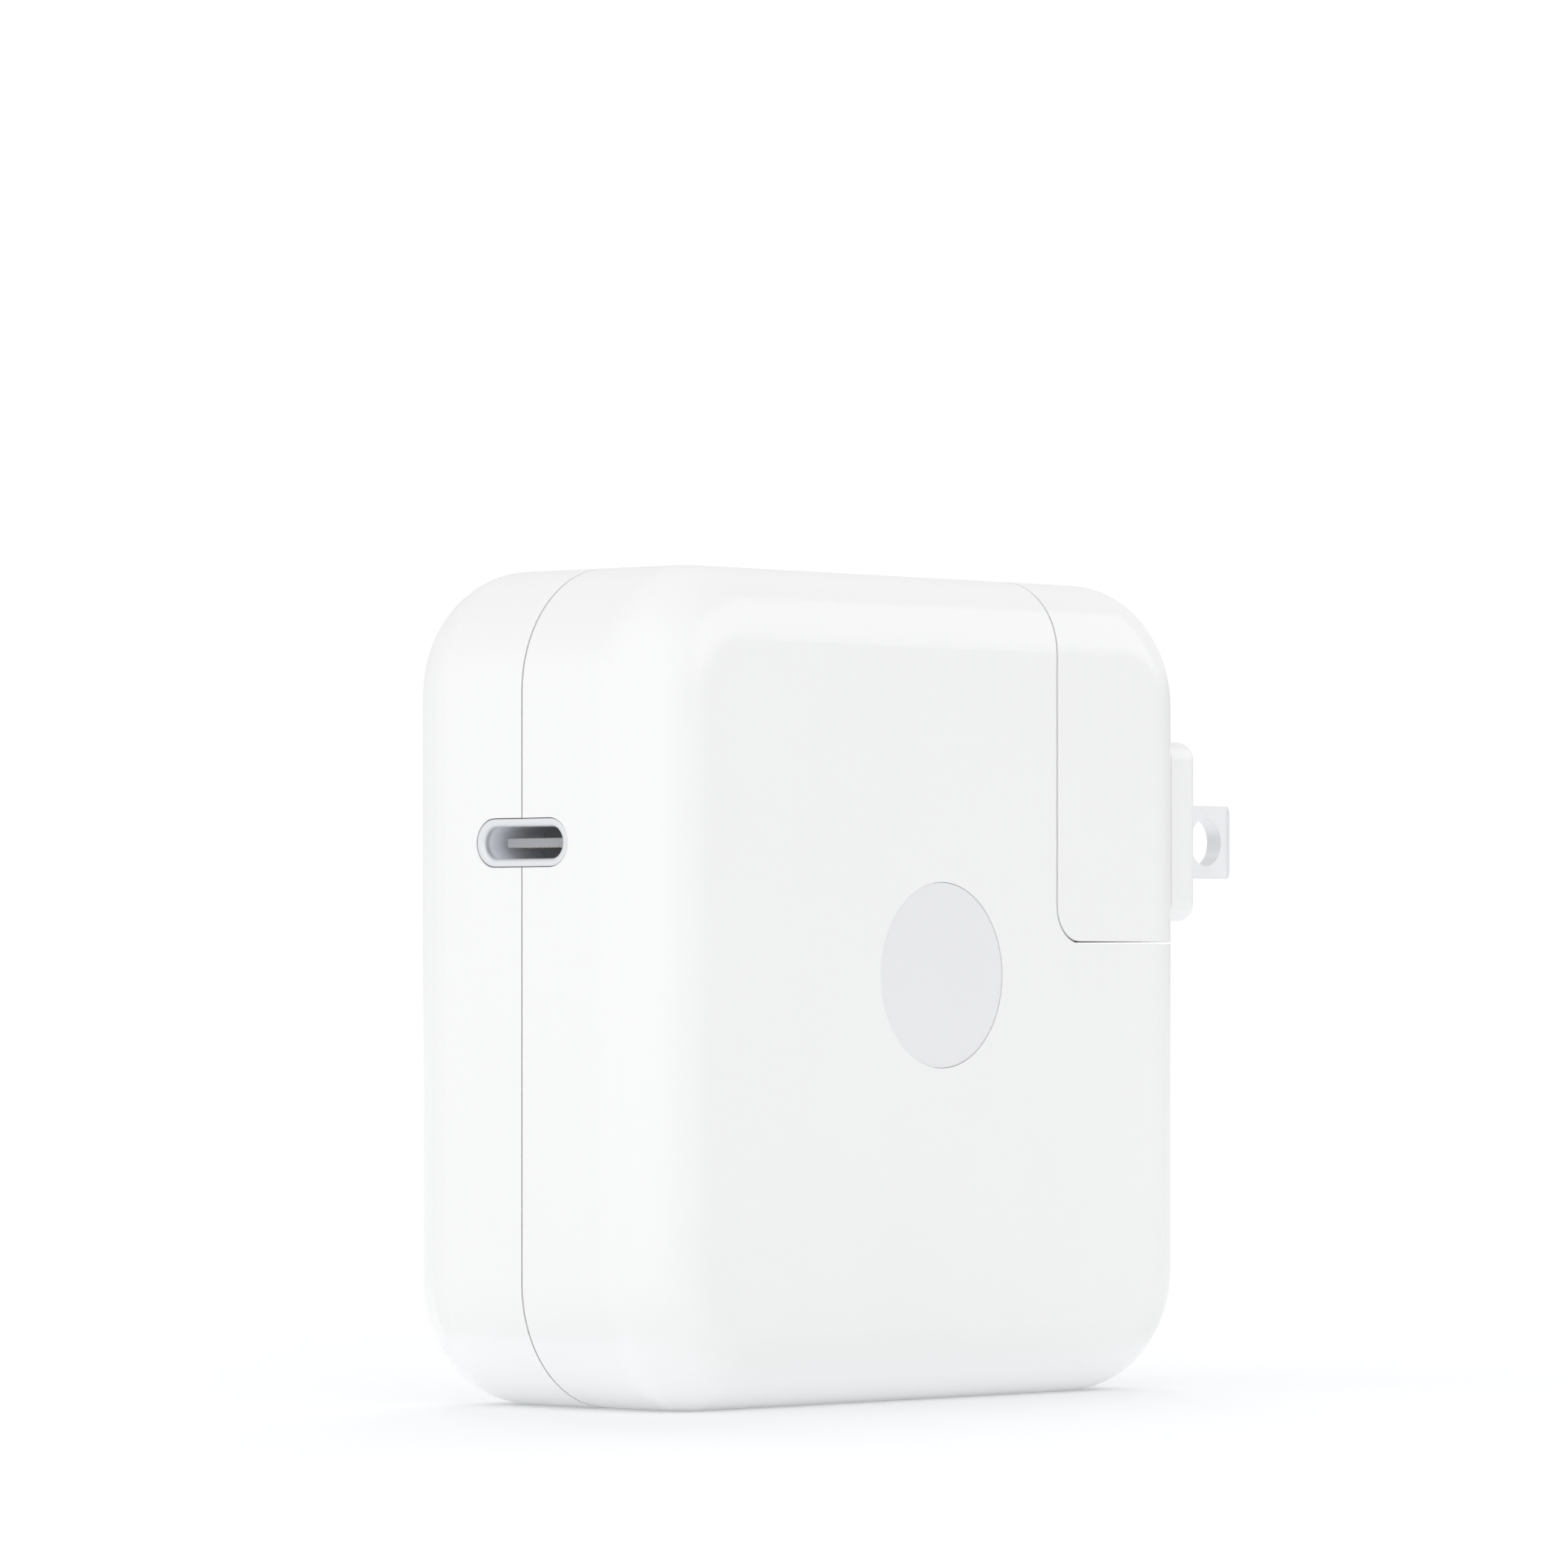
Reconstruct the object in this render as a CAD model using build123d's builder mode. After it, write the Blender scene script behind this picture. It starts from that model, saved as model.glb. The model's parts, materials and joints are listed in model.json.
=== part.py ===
from build123d import *
import os

# Laptop power adapter, a rounded square block that stands on one narrow side.
# Millimetres. +X points towards the mains prongs, +Y to the back, +Z up.
# The origin is the centre of the narrow face that the adapter stands on.

# ---------------------------------------------------------------- driving dimensions
SIDE = 66.0            # width and height of the casing
DEPTH = 28.5           # thickness of the casing
CORNER = 10.0          # corner radius seen from the front
EDGE = 6.0             # rounding of the front and back rims
WALL = 2.4             # casing wall
SEAM = 0.16            # open line between the two casing shells
MID_Z = SIDE / 2
HALF_DEPTH = DEPTH / 2

NOTCH_X = 14.6         # notch for the plug module: everything beyond this X ...
NOTCH_Z = 36.6         # ... and above this Z
NOTCH_CORNER = 3.0
MODULE_GAP = 0.17      # line between casing and plug module

LIP_THICKNESS = 1.0    # inner lip that lines the shells up
LIP_HEIGHT = 2.0
LIP_CLEARANCE = 0.1

EMBLEM_X = 0.5         # plain round inlay in the front face
EMBLEM_Z = 34.0
EMBLEM_RADIUS = 7.4
EMBLEM_POCKET = 0.65
EMBLEM_SUNK = 0.08
EMBLEM_GAP = 0.02

PORT_Z = 44.3          # centre height of the charging socket
RING_LENGTH = 9.75     # bright ring round the charging socket
RING_WIDTH = 3.75
MOUTH_LENGTH = 8.34
MOUTH_WIDTH = 2.5
RECEPTACLE_LENGTH = 8.94
RECEPTACLE_WIDTH = 3.16
RECEPTACLE_SHEET = 0.3
RECEPTACLE_DEPTH = 7.3
TONGUE_LENGTH = 6.69
TONGUE_THICKNESS = 0.7

INLET_X = 23.8         # figure-8 mains inlet in the floor of the notch
INLET_PITCH = 8.6      # between its two pins
INLET_PIN_RADIUS = 1.2
INLET_LOBE_Y = 3.15
INLET_LOBE_RADIUS = 3.9
INLET_FLOOR = 24.6
NOSE_LOBE_Y = 3.1
NOSE_LOBE_RADIUS = 3.7
NOSE_TIP_Z = 26.0

STUD_Z = 52.0          # button that the plug module slides over
STUD_HEAD_RADIUS = 4.25
STUD_HEAD_X = (16.2, 17.5)
STUD_NECK_RADIUS = 2.5
STUD_SHANK_RADIUS = 2.0
WASHER_RADIUS = 4.0

BLADE_Y = 6.35         # mains prongs, half of their 12.7 mm spacing
BLADE_THICKNESS = 1.5
BLADE_WIDTH = 6.1
BLADE_Z = 45.2
BLADE_TIP_X = 46.1
BLADE_HOLE_X = 42.5
BLADE_HOLE_RADIUS = 2.0
PIVOT_X = 30.5
PIVOT_Z = 44.1
BARREL_RADIUS = 3.0
BARREL_HALF = 9.5
AXLE_RADIUS = 1.2
AXLE_END = 11.3

PAD_Z = (38.5, 53.35)  # raised pad round the prongs
PAD_HALF = 12.0
PAD_HEIGHT = 2.6
PAD_ROUND = 1.2

BOARD_FRONT = 5.4      # component side of the main circuit board
BOARD_BACK = 6.6

os.makedirs("parts", exist_ok=True)


def save(builder, name):
    """Label one finished piece and write it as its own file."""
    builder.part.label = name
    export_step(builder.part, f"parts/{name}.step")


def front_plane(y):
    """A drawing plane at depth y whose normal points to the front."""
    return Plane.XZ.offset(-y)


# ---------------------------------------------------------------- shared shapes
def rounded_block(inset):
    """The casing's outer form, shrunk evenly by inset."""
    with BuildPart() as block:
        with BuildSketch(Plane.XZ):
            with Locations((0, MID_Z)):
                RectangleRounded(SIDE - 2 * inset, SIDE - 2 * inset, CORNER - inset)
        extrude(amount=HALF_DEPTH - inset, both=True)
        rims = block.faces().sort_by(Axis.Y)
        fillet(rims[0].edges() + rims[-1].edges(), EDGE - inset)
    return block.part


NOTCH_REACH = 60.0     # the notch outline runs well past the casing


def notch_prism(inset):
    """The room of the plug module, its two inner walls moved by inset."""
    middle_x = NOTCH_X + inset + NOTCH_REACH / 2
    middle_z = NOTCH_Z + inset + NOTCH_REACH / 2
    with BuildPart() as prism:
        with BuildSketch(Plane.XZ):
            with Locations((middle_x, middle_z)):
                RectangleRounded(NOTCH_REACH, NOTCH_REACH, NOTCH_CORNER - inset)
        extrude(amount=DEPTH, both=True)
    return prism.part


def cavity_band(grow, y_low, y_high):
    """A slice of the casing's inside, grown by grow, between two depths."""
    size = SIDE - 2 * WALL + 2 * grow
    notch_inset = grow - WALL
    with BuildPart() as band:
        with BuildSketch(front_plane(y_high)):
            with Locations((0, MID_Z)):
                RectangleRounded(size, size, CORNER - WALL + grow)
            shift = notch_inset + NOTCH_REACH / 2
            with Locations((NOTCH_X + shift, NOTCH_Z + shift)):
                RectangleRounded(NOTCH_REACH, NOTCH_REACH, NOTCH_CORNER - notch_inset, mode=Mode.SUBTRACT)
        extrude(amount=y_high - y_low)
    return band.part


def port_stadium(length, width, x_low, x_high):
    """A slot-shaped bar along X at the charging socket."""
    with BuildPart() as bar:
        with BuildSketch(Plane.YZ.offset(x_low)):
            with Locations((0, PORT_Z)):
                SlotOverall(length, width)
        extrude(amount=x_high - x_low)
    return bar.part


def block(x, y, z, corner=0.0):
    """A box from three (low, high) pairs, with its edges along Y rounded by corner."""
    with BuildPart() as solid:
        with Locations(((x[0] + x[1]) / 2, (y[0] + y[1]) / 2, (z[0] + z[1]) / 2)):
            Box(x[1] - x[0], y[1] - y[0], z[1] - z[0])
        if corner:
            fillet(solid.edges().filter_by(Axis.Y), corner)
    return solid.part


def can(x, z, radius, y, hole=0.0):
    """A round piece along Y between two depths, with an optional hole."""
    with BuildPart() as solid:
        with BuildSketch(front_plane(y[1])):
            with Locations((x, z)):
                Circle(radius)
                if hole:
                    Circle(hole, mode=Mode.SUBTRACT)
        extrude(amount=y[1] - y[0])
    return solid.part


# ---------------------------------------------------------------- casing shells
INLET_BODY = (11.2, 17.4)       # the inlet moulding across X and along Y
INLET_CORNER = 3.0
INLET_FLANGE = 1.2              # step under the notch floor that holds it
POSTS = [(-25.4, 8.0), (-25.2, 45.6), (8.8, 25.8), (21.0, 16.8)]
POST_RADIUS = 1.8
POST_PIN_RADIUS = 0.9
INNER_Y = HALF_DEPTH - WALL
FACE_X = -SIDE / 2              # narrow face with the charging socket
FIT = 0.1                       # play of a part in its opening, both sides together

with BuildPart() as hollow:
    add(rounded_block(WALL))
    add(notch_prism(-WALL), mode=Mode.SUBTRACT)

with BuildPart() as casing:
    add(rounded_block(0))
    add(notch_prism(0), mode=Mode.SUBTRACT)
    add(hollow.part, mode=Mode.SUBTRACT)
    # opening for the charging socket's ring
    add(port_stadium(RING_LENGTH + FIT, RING_WIDTH + FIT, FACE_X - 1, FACE_X + WALL + 1), mode=Mode.SUBTRACT)
    # opening for the mains inlet in the floor of the notch
    with BuildSketch(Plane.XY.offset(NOTCH_Z - WALL - 1)):
        with Locations((INLET_X, 0)):
            RectangleRounded(INLET_BODY[0] + FIT, INLET_BODY[1] + FIT, INLET_CORNER + FIT / 2)
    extrude(amount=WALL + 2, mode=Mode.SUBTRACT)
    # hole for the mounting button's shank
    with BuildSketch(Plane.YZ.offset(NOTCH_X - WALL - 1)):
        with Locations((0, STUD_Z)):
            Circle(STUD_SHANK_RADIUS + FIT / 2)
    extrude(amount=WALL + 2, mode=Mode.SUBTRACT)

# room that the lip leaves for the charging socket, the mains inlet and the button's washer
LIP_GAP_HALF = 4.0
inlet_half = INLET_BODY[0] / 2 + INLET_FLANGE
openings = [
    port_stadium(RING_LENGTH + FIT, RING_WIDTH + FIT, FACE_X, FACE_X + 2 * WALL),
    block((INLET_X - inlet_half, INLET_X + inlet_half), (-LIP_GAP_HALF, LIP_GAP_HALF), (30, NOTCH_Z)),
    block((NOTCH_X - WALL - 1, NOTCH_X), (-LIP_GAP_HALF, LIP_GAP_HALF),
          (STUD_Z - WASHER_RADIUS - 0.4, STUD_Z + WASHER_RADIUS + 0.4)),
]

with BuildPart() as front_shell:
    add(casing.part)
    split(bisect_by=front_plane(-SEAM / 2), keep=Keep.TOP)
    # step that takes the rear shell's lip
    recess_depth = LIP_HEIGHT + LIP_CLEARANCE
    add(cavity_band(LIP_THICKNESS + LIP_CLEARANCE, -recess_depth, 0), mode=Mode.SUBTRACT)
    # pocket for the inlay
    with BuildSketch(front_plane(-HALF_DEPTH)):
        with Locations((EMBLEM_X, EMBLEM_Z)):
            Circle(EMBLEM_RADIUS + EMBLEM_GAP)
    extrude(amount=-EMBLEM_POCKET, mode=Mode.SUBTRACT)
save(front_shell, "front_shell")

with BuildPart() as lip:
    add(cavity_band(LIP_THICKNESS, -LIP_HEIGHT, SEAM / 2))
    add(cavity_band(0, -LIP_HEIGHT - 1, SEAM), mode=Mode.SUBTRACT)
    for opening in openings:
        add(opening, mode=Mode.SUBTRACT)

with BuildPart() as rear_shell:
    add(casing.part)
    split(bisect_by=front_plane(SEAM / 2), keep=Keep.BOTTOM)
    add(lip.part)
    # posts with pins that hold the main board
    for post_x, post_z in POSTS:
        add(can(post_x, post_z, POST_RADIUS, (BOARD_BACK, INNER_Y)))
        add(can(post_x, post_z, POST_PIN_RADIUS, (BOARD_FRONT - 0.8, BOARD_BACK)))
save(rear_shell, "rear_shell")

with BuildPart() as emblem_inlay:
    inlay_y = (-HALF_DEPTH + EMBLEM_SUNK, -HALF_DEPTH + EMBLEM_POCKET)
    add(can(EMBLEM_X, EMBLEM_Z, EMBLEM_RADIUS, inlay_y))
    fillet(emblem_inlay.faces().sort_by(Axis.Y)[0].edges(), 0.06)
save(emblem_inlay, "emblem_inlay")

# ---------------------------------------------------------------- charging socket
RING_LIP = 0.7
RING_SUNK = 0.05
with BuildPart() as port_bezel:
    add(port_stadium(RING_LENGTH, RING_WIDTH, FACE_X + RING_SUNK, FACE_X + WALL))
    add(port_stadium(RING_LENGTH + 1.6, RING_WIDTH + 1.6, FACE_X + WALL, FACE_X + WALL + 0.6))
    add(port_stadium(RECEPTACLE_LENGTH + FIT, RECEPTACLE_WIDTH + FIT, FACE_X + RING_LIP, 0),
        mode=Mode.SUBTRACT)
    add(port_stadium(MOUTH_LENGTH, MOUTH_WIDTH, FACE_X - 1, FACE_X + 1), mode=Mode.SUBTRACT)
    mouth_face = port_bezel.faces().sort_by(Axis.X)[0]
    fillet(mouth_face.inner_wires()[0].edges(), 0.35)
    fillet(port_bezel.faces().sort_by(Axis.X)[0].outer_wire().edges(), 0.1)
save(port_bezel, "port_bezel")

SHELL_X = FACE_X + RING_LIP
SHELL_END = SHELL_X + RECEPTACLE_DEPTH
USB_BOARD_TOP = PORT_Z - RECEPTACLE_WIDTH / 2
USB_BOARD_THICKNESS = 0.8
TAB_X = (SHELL_X + 3.4, SHELL_END - 0.8)
TAB_Y = RECEPTACLE_LENGTH / 2 - RECEPTACLE_SHEET / 2
TAB_WIDTH = 1.0

with BuildPart() as usb_shell:
    add(port_stadium(RECEPTACLE_LENGTH, RECEPTACLE_WIDTH, SHELL_X, SHELL_END))
    inner_length = RECEPTACLE_LENGTH - 2 * RECEPTACLE_SHEET
    inner_width = RECEPTACLE_WIDTH - 2 * RECEPTACLE_SHEET
    add(port_stadium(inner_length, inner_width, SHELL_X - 1, SHELL_END + 1), mode=Mode.SUBTRACT)
    # solder tabs that go through the small board
    tab_height = RECEPTACLE_WIDTH / 2 + USB_BOARD_THICKNESS + 0.5
    for tab_x in TAB_X:
        with Locations((tab_x, TAB_Y, PORT_Z - tab_height / 2), (tab_x, -TAB_Y, PORT_Z - tab_height / 2)):
            Box(TAB_WIDTH, RECEPTACLE_SHEET, tab_height)
save(usb_shell, "usb_shell")

TONGUE_FRONT = FACE_X + 1.9
CORE_X = SHELL_END - 1.3
with BuildPart() as usb_core:
    add(port_stadium(inner_length, inner_width, CORE_X, SHELL_END))
    add(block((TONGUE_FRONT, CORE_X), (-TONGUE_LENGTH / 2, TONGUE_LENGTH / 2),
              (PORT_Z - TONGUE_THICKNESS / 2, PORT_Z + TONGUE_THICKNESS / 2)))
    fillet(usb_core.edges().filter_by(Axis.X).group_by(Axis.X)[0], 0.2)
save(usb_core, "usb_core")

CONTACT_PITCH = 0.5
CONTACT_COUNT = 12
CONTACT_SIZE = (3.3, 0.26, 0.03)
with BuildPart() as usb_contacts:
    contact_middle = TONGUE_FRONT + 0.7 + CONTACT_SIZE[0] / 2
    offset_z = (TONGUE_THICKNESS + CONTACT_SIZE[2]) / 2
    with Locations((contact_middle, 0, PORT_Z + offset_z), (contact_middle, 0, PORT_Z - offset_z)):
        with GridLocations(1, CONTACT_PITCH, 1, CONTACT_COUNT):
            Box(*CONTACT_SIZE)
save(usb_contacts, "usb_contacts")

USB_BOARD_X = (FACE_X + 3.2, -19.5)
USB_BOARD_Y = (-8.6, BOARD_FRONT)
with BuildPart() as usb_board:
    add(block(USB_BOARD_X, USB_BOARD_Y, (USB_BOARD_TOP - USB_BOARD_THICKNESS, USB_BOARD_TOP)))
    for tab_x in TAB_X:
        with Locations((tab_x, TAB_Y, USB_BOARD_TOP), (tab_x, -TAB_Y, USB_BOARD_TOP)):
            Box(TAB_WIDTH + 0.3, RECEPTACLE_SHEET + 0.3, 3, mode=Mode.SUBTRACT)
save(usb_board, "usb_board")

# ---------------------------------------------------------------- main board and sheets
BOARD_X = (-28.0, 28.0)
BOARD_Z = (5.0, 61.0)
BOARD_STEP_X = 10.5    # right side of the board beside the notch
BOARD_STEP_Z = 20.5    # top of the board under the mains inlet


def l_sheet(inset, y, corner):
    """An L-shaped sheet that fits beside the notch, its outline inset evenly."""
    with BuildPart() as sheet:
        left, right = BOARD_X[0] + inset, BOARD_X[1] - inset
        low, high = BOARD_Z[0] + inset, BOARD_Z[1] - inset
        step_x, step_z = BOARD_STEP_X - inset, BOARD_STEP_Z - inset
        with BuildSketch(front_plane(y[1])):
            with BuildLine():
                Polyline((left, low), (right, low), (right, step_z), (step_x, step_z),
                         (step_x, high), (left, high), close=True)
            make_face()
        extrude(amount=y[1] - y[0])
        fillet(sheet.edges().filter_by(Axis.Y), corner)
    return sheet.part


def piercing(radius):
    """Round bars through the sheets at the posts."""
    with BuildPart() as bars:
        for post_x, post_z in POSTS:
            add(can(post_x, post_z, radius, (-20, 20)))
    return bars.part


with BuildPart() as main_board:
    add(l_sheet(0, (BOARD_FRONT, BOARD_BACK), 1.5))
    add(piercing(POST_PIN_RADIUS + 0.1), mode=Mode.SUBTRACT)
save(main_board, "main_board")

# depths of the films and aluminium sheets, the same in front and behind
FILM_Y = (10.8, 11.05)
SPREADER_Y = (11.1, 11.6)
FILM_INSET = 1.2
SPREADER_INSET = 2.0
SHEET_CORNER = 1.0

with BuildPart() as front_heat_spreader:
    add(l_sheet(SPREADER_INSET, (-SPREADER_Y[1], -SPREADER_Y[0]), SHEET_CORNER))
save(front_heat_spreader, "front_heat_spreader")

with BuildPart() as front_insulation_sheet:
    add(l_sheet(FILM_INSET, (-FILM_Y[1], -FILM_Y[0]), SHEET_CORNER))
save(front_insulation_sheet, "front_insulation_sheet")

with BuildPart() as rear_insulation_sheet:
    add(l_sheet(FILM_INSET, FILM_Y, SHEET_CORNER))
    add(piercing(POST_RADIUS + 0.2), mode=Mode.SUBTRACT)
save(rear_insulation_sheet, "rear_insulation_sheet")

with BuildPart() as rear_heat_spreader:
    add(l_sheet(SPREADER_INSET, SPREADER_Y, SHEET_CORNER))
    add(piercing(POST_RADIUS + 0.3), mode=Mode.SUBTRACT)
save(rear_heat_spreader, "rear_heat_spreader")

# ---------------------------------------------------------------- parts on the board's back
SWITCH_X = (-1.5, 5.1)           # moulded body of the power transistor
SWITCH_Z = (17.5, 23.6)
SWITCH_TOP = 8.9
SWITCH_TAB = 2.0                # metal tab on one side of it
SWITCH_LEG = 2.5                # two legs on the other side
SWITCH_SHEET_TOP = 7.1
LEG_HALF = 0.4
with BuildPart() as power_transistor:
    add(block(SWITCH_X, (BOARD_BACK, SWITCH_TOP), SWITCH_Z))
    add(block((SWITCH_X[0] - SWITCH_TAB, SWITCH_X[0]), (BOARD_BACK, SWITCH_SHEET_TOP),
              (SWITCH_Z[0] + 0.5, SWITCH_Z[1] - 0.6)))
    for leg_z in (SWITCH_Z[0] + 2 * LEG_HALF, SWITCH_Z[1] - 2 * LEG_HALF):
        add(block((SWITCH_X[1], SWITCH_X[1] + SWITCH_LEG), (BOARD_BACK, SWITCH_SHEET_TOP),
                  (leg_z - LEG_HALF, leg_z + LEG_HALF)))
save(power_transistor, "power_transistor")

RECTIFIER_X = (-12.6, -7.4)
RECTIFIER_Z = (50.0, 56.2)
RECTIFIER_TOP = 7.8
with BuildPart() as rectifier_transistor:
    add(block(RECTIFIER_X, (BOARD_BACK, RECTIFIER_TOP), RECTIFIER_Z))
save(rectifier_transistor, "rectifier_transistor")


CHIP_X, CHIP_Z = -9.0, 19.0
CHIP_WIDTH, CHIP_HEIGHT = 5.0, 3.9
CHIP_TOP = 8.2
CHIP_LEG_PITCH = 1.27
CHIP_LEG = (0.4, 0.5, 1.0)
CHIP_LEGS_A_SIDE = 4
with BuildPart() as pwm_controller:
    # a flat chip with a row of legs above and below
    add(block((CHIP_X - CHIP_WIDTH / 2, CHIP_X + CHIP_WIDTH / 2), (BOARD_BACK + 0.1, CHIP_TOP),
              (CHIP_Z - CHIP_HEIGHT / 2, CHIP_Z + CHIP_HEIGHT / 2)))
    for side in (-1, 1):
        leg_z = CHIP_Z + side * (CHIP_HEIGHT + CHIP_LEG[2]) / 2
        with Locations((CHIP_X, BOARD_BACK + CHIP_LEG[1] / 2, leg_z)):
            with GridLocations(CHIP_LEG_PITCH, 1, CHIP_LEGS_A_SIDE, 1):
                Box(*CHIP_LEG)
save(pwm_controller, "pwm_controller")

with BuildPart() as rear_thermal_pad:
    add(block((-3.5, 7.0), (SWITCH_TOP, FILM_Y[0]), (15.0, 25.0), corner=0.5))
save(rear_thermal_pad, "rear_thermal_pad")

# ---------------------------------------------------------------- parts on the board's front
STAND_OFF = 0.4                 # between a can's foot and the board
WIRE_LEG_RADIUS = 0.35

FUSE_X, FUSE_Z = 24.5, 10.6
FUSE_RADIUS = 4.0
FUSE_TOP = -2.2
with BuildPart() as fuse:
    add(can(FUSE_X, FUSE_Z, FUSE_RADIUS, (FUSE_TOP, BOARD_FRONT - STAND_OFF)))
    fillet(fuse.faces().sort_by(Axis.Y)[0].edges(), 0.5)
    for leg_z in (FUSE_Z - 2.5, FUSE_Z + 2.5):
        add(can(FUSE_X, leg_z, WIRE_LEG_RADIUS, (BOARD_FRONT - STAND_OFF, BOARD_FRONT)))
save(fuse, "fuse")


def upright_disc(x, y, z, radius, rounding):
    """A dipped disc between two X values that stands on the board by its wire leg."""
    with BuildPart() as disc:
        with BuildSketch(Plane.YZ.offset(x[0])):
            with Locations((y, z)):
                Circle(radius)
        extrude(amount=x[1] - x[0])
        fillet(disc.edges().filter_by(GeomType.CIRCLE), rounding)
        add(can((x[0] + x[1]) / 2, z, WIRE_LEG_RADIUS, (y + radius - 0.1, BOARD_FRONT)))
    return disc


surge_varistor = upright_disc((15.9, 19.3), 1.6, 9.3, 3.5, 0.9)
save(surge_varistor, "surge_varistor")

y_capacitor = upright_disc((-25.4, -22.4), 1.7, 37.7, 3.3, 1.0)
save(y_capacitor, "y_capacitor")

FILM_CAPACITOR_X = (3.0, 18.5)
FILM_CAPACITOR_Z = (13.6, 20.1)
FILM_CAPACITOR_TOP = -7.6
with BuildPart() as x_capacitor:
    add(block(FILM_CAPACITOR_X, (FILM_CAPACITOR_TOP, BOARD_FRONT), FILM_CAPACITOR_Z))
    fillet(x_capacitor.faces().sort_by(Axis.Y)[0].edges(), 0.5)
save(x_capacitor, "x_capacitor")

BRIDGE_X = (4.0, 14.5)
BRIDGE_Z = (5.8, 12.6)
BRIDGE_TOP = 2.2
with BuildPart() as bridge_rectifier:
    add(block(BRIDGE_X, (BRIDGE_TOP, BOARD_FRONT), BRIDGE_Z))
    chamfer(bridge_rectifier.faces().sort_by(Axis.Y)[0].edges(), 0.4)
save(bridge_rectifier, "bridge_rectifier")

CHOKE_X, CHOKE_Z = -5.5, 12.8
CHOKE_OUTER, CHOKE_INNER = 6.3, 3.6
CHOKE_Y = (-2.8, 3.6)
with BuildPart() as choke_core:
    add(can(CHOKE_X, CHOKE_Z, CHOKE_OUTER, CHOKE_Y, hole=CHOKE_INNER))
    fillet(choke_core.edges().filter_by(GeomType.CIRCLE), 0.6)
save(choke_core, "choke_core")

WIRE_RADIUS = 0.45
CHOKE_TURNS = 7
with BuildPart() as choke_turn:
    # one turn of wire: a closed racetrack round the core's section
    middle_r = (CHOKE_OUTER + CHOKE_INNER) / 2
    middle_y = (CHOKE_Y[0] + CHOKE_Y[1]) / 2
    half_r = (CHOKE_OUTER - CHOKE_INNER) / 2
    half_y = (CHOKE_Y[1] - CHOKE_Y[0]) / 2
    gap = 0.05
    with BuildSketch(Plane.XY.offset(CHOKE_Z)):
        with Locations((CHOKE_X + middle_r, middle_y)):
            RectangleRounded(2 * (half_r + gap + 2 * WIRE_RADIUS), 2 * (half_y + gap + 2 * WIRE_RADIUS), 1.4)
            RectangleRounded(2 * (half_r + gap), 2 * (half_y + gap), 0.55, mode=Mode.SUBTRACT)
    extrude(amount=WIRE_RADIUS, both=True)

with BuildPart() as choke_windings:
    # two windings, one on each half of the ring
    turn_step = 20
    for half in (0, 180):
        for turn in range(CHOKE_TURNS):
            angle = half + (turn - (CHOKE_TURNS - 1) / 2) * turn_step
            add(choke_turn.part.rotate(Axis((CHOKE_X, 0, CHOKE_Z), (0, 1, 0)), angle))
save(choke_windings, "choke_windings")


CRIMP_DEPTH = 0.06              # of a can's radius, near its rubber end
CRIMP_WIDTH = 1.0
BULK_LARGE = (-21.6, -1.1, 6.25)     # X, Y and radius
BULK_LARGE_Z = (6.4, 33.4)
with BuildPart() as bulk_capacitor_large:
    bulk_x, bulk_y, bulk_radius = BULK_LARGE
    with BuildSketch(Plane.XY.offset(BULK_LARGE_Z[0])):
        with Locations((bulk_x, bulk_y)):
            Circle(bulk_radius)
    extrude(amount=BULK_LARGE_Z[1] - BULK_LARGE_Z[0])
    fillet(bulk_capacitor_large.edges().filter_by(GeomType.CIRCLE), 0.6)
    with BuildSketch(Plane.XY.offset(BULK_LARGE_Z[0] + 2 * CRIMP_WIDTH)):
        with Locations((bulk_x, bulk_y)):
            Circle(bulk_radius + 0.5)
            Circle(bulk_radius * (1 - CRIMP_DEPTH), mode=Mode.SUBTRACT)
    extrude(amount=CRIMP_WIDTH, mode=Mode.SUBTRACT)
save(bulk_capacitor_large, "bulk_capacitor_large")

BULK_SMALL = (0.2, 56.8, 5.0)        # Y, Z and radius
BULK_SMALL_X = (-17.0, 9.4)
with BuildPart() as bulk_capacitor_small:
    bulk_y, bulk_z, bulk_radius = BULK_SMALL
    with BuildSketch(Plane.YZ.offset(BULK_SMALL_X[0])):
        with Locations((bulk_y, bulk_z)):
            Circle(bulk_radius)
    extrude(amount=BULK_SMALL_X[1] - BULK_SMALL_X[0])
    fillet(bulk_capacitor_small.edges().filter_by(GeomType.CIRCLE), 0.5)
    with BuildSketch(Plane.YZ.offset(BULK_SMALL_X[1] - 3 * CRIMP_WIDTH)):
        with Locations((bulk_y, bulk_z)):
            Circle(bulk_radius + 0.5)
            Circle(bulk_radius * (1 - CRIMP_DEPTH), mode=Mode.SUBTRACT)
    extrude(amount=CRIMP_WIDTH, mode=Mode.SUBTRACT)
save(bulk_capacitor_small, "bulk_capacitor_small")


OUTPUT_CAN_X = -24.6
OUTPUT_CAN_RADIUS = 3.1
OUTPUT_CAN_TOP = -3.4
FOOT_THICKNESS = 0.8


def output_capacitor(name, z):
    """A small can on a square foot, above the charging socket."""
    foot_y = BOARD_FRONT - FOOT_THICKNESS
    with BuildPart() as capacitor:
        add(can(OUTPUT_CAN_X, z, OUTPUT_CAN_RADIUS, (OUTPUT_CAN_TOP, foot_y)))
        fillet(capacitor.faces().sort_by(Axis.Y)[0].edges(), 0.4)
        add(block((OUTPUT_CAN_X - OUTPUT_CAN_RADIUS, OUTPUT_CAN_X + OUTPUT_CAN_RADIUS), (foot_y, BOARD_FRONT),
                  (z - OUTPUT_CAN_RADIUS, z + OUTPUT_CAN_RADIUS), corner=0.8))
    save(capacitor, name)


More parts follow.
